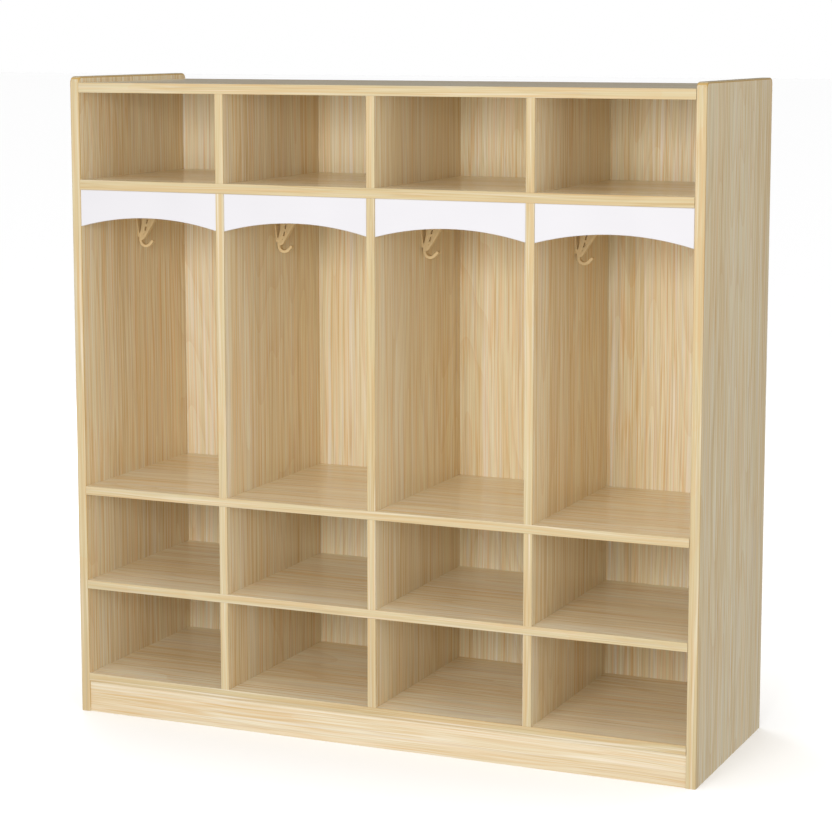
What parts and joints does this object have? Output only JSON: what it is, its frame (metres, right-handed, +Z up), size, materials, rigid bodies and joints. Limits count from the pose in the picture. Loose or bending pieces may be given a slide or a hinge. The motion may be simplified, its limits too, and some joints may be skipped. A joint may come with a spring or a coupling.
{
  "type": "school locker",
  "caption": "Open school locker in wood-grain board: hat cubbies, coat bays with arched white valances and plastic hooks, shoe cubbies and a plinth.",
  "frame": {"origin": "on the floor, under the middle of the locker's width and depth", "axes": "+X to the right seen from the front, +Y to the wall behind, +Z up; the open front faces -Y"},
  "size_m": [1.2, 0.4, 1.185],
  "materials": {
    "melamine_board": "melamine facing with a light pine grain, satin",
    "edge_banding": "wood-grain ABS edge banding",
    "back_sheet": "melamine facing with a light pine grain, satin",
    "white_lacquer": "smooth white lacquer on fibreboard",
    "hook_plastic": "moulded beige ABS",
    "beech_dowel": "fluted beech, unfinished",
    "screw_steel": "bright zinc plate",
    "zinc_alloy": "die-cast zinc alloy, bright",
    "cap_plastic": "moulded plastic, board coloured"
  },
  "bodies": {
    "root": {"left_side_panel": "melamine_board", "right_side_panel": "melamine_board", "top_board": "melamine_board", "hat_shelf": "melamine_board", "bag_shelf": "melamine_board", "shoe_shelf": "melamine_board", "bottom_board": "melamine_board", "plinth_front": "melamine_board", "plinth_back": "melamine_board", "plinth_brace": "melamine_board", "top_divider_1": "melamine_board", "top_divider_2": "melamine_board", "top_divider_3": "melamine_board", "bay_divider_1": "melamine_board", "bay_divider_2": "melamine_board", "bay_divider_3": "melamine_board", "upper_shoe_divider_1": "melamine_board", "upper_shoe_divider_2": "melamine_board", "upper_shoe_divider_3": "melamine_board", "lower_shoe_divider_1": "melamine_board", "lower_shoe_divider_2": "melamine_board", "lower_shoe_divider_3": "melamine_board", "left_side_edge_band": "edge_banding", "right_side_edge_band": "edge_banding", "top_board_edge_band": "edge_banding", "hat_shelf_edge_band": "edge_banding", "bag_shelf_edge_band": "edge_banding", "shoe_shelf_edge_band": "edge_banding", "bottom_board_edge_band": "edge_banding", "top_divider_edge_bands": "edge_banding", "bay_divider_edge_bands": "edge_banding", "upper_shoe_divider_edge_bands": "edge_banding", "lower_shoe_divider_edge_bands": "edge_banding", "back_panel": "back_sheet", "valance_1": "white_lacquer", "valance_2": "white_lacquer", "valance_3": "white_lacquer", "valance_4": "white_lacquer", "coat_hook_1": "hook_plastic", "coat_hook_2": "hook_plastic", "coat_hook_3": "hook_plastic", "coat_hook_4": "hook_plastic", "shelf_dowels": "beech_dowel", "divider_dowels": "beech_dowel", "plinth_dowels": "beech_dowel", "valance_dowels": "beech_dowel", "cam_bolts": "screw_steel", "cam_housings": "zinc_alloy", "cam_cover_caps": "cap_plastic", "hook_screws": "screw_steel", "back_panel_screws": "screw_steel"}
  },
  "joints": []
}
